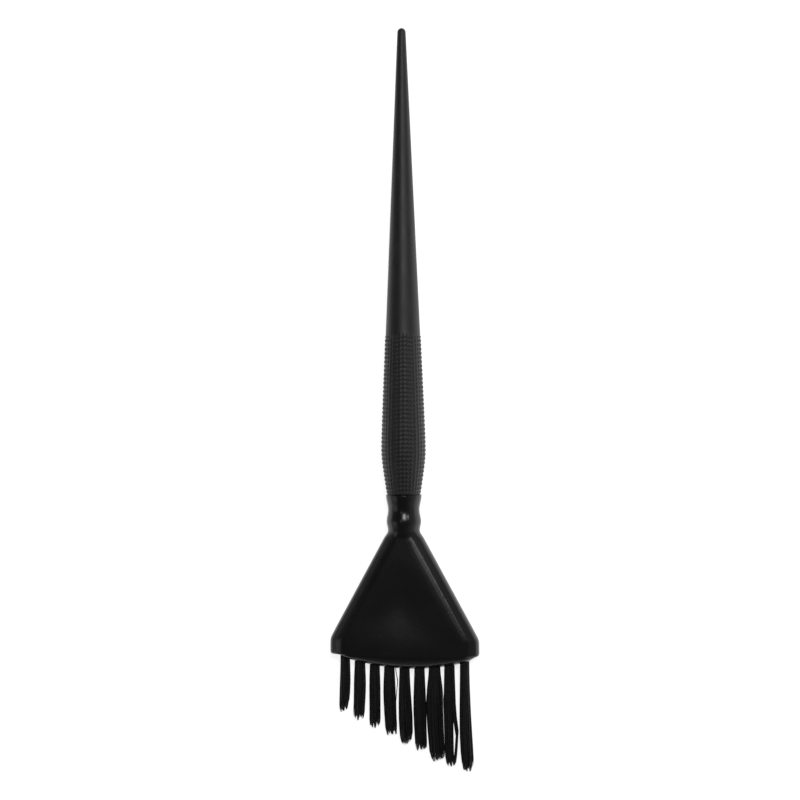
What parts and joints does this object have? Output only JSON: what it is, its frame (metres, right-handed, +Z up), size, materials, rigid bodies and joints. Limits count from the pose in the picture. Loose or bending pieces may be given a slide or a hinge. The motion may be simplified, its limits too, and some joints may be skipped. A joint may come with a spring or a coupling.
{
  "type": "tint brush",
  "caption": "Hair tint brush with a long tapered tail handle, textured grip, bevelled triangular head and a slanted row of separate bristle tufts.",
  "frame": {"origin": "centre of the brush's bounding box, on the surface that the brush lies on", "axes": "the brush lies on its back: +Z up out of the front face, +Y towards the tail's tip, +X towards the side with the longest tuft"},
  "size_m": [0.047, 0.2299, 0.014],
  "materials": {
    "handle_matte": "fine matte moulded black plastic, with raised micro-dots on the grip",
    "head_gloss": "satin to glossy moulded black plastic",
    "bristle_nylon": "soft black nylon filament with a slight sheen",
    "anchor_brass": "plain drawn brass strip"
  },
  "bodies": {
    "root": {"handle": "handle_matte", "brush_head": "head_gloss", "bristle_tuft_1": "bristle_nylon", "bristle_tuft_2": "bristle_nylon", "bristle_tuft_3": "bristle_nylon", "bristle_tuft_4": "bristle_nylon", "bristle_tuft_5": "bristle_nylon", "bristle_tuft_6": "bristle_nylon", "bristle_tuft_7": "bristle_nylon", "bristle_tuft_8": "bristle_nylon", "bristle_tuft_9": "bristle_nylon", "anchor_staple_1": "anchor_brass", "anchor_staple_2": "anchor_brass", "anchor_staple_3": "anchor_brass", "anchor_staple_4": "anchor_brass", "anchor_staple_5": "anchor_brass", "anchor_staple_6": "anchor_brass", "anchor_staple_7": "anchor_brass", "anchor_staple_8": "anchor_brass", "anchor_staple_9": "anchor_brass"}
  },
  "joints": []
}
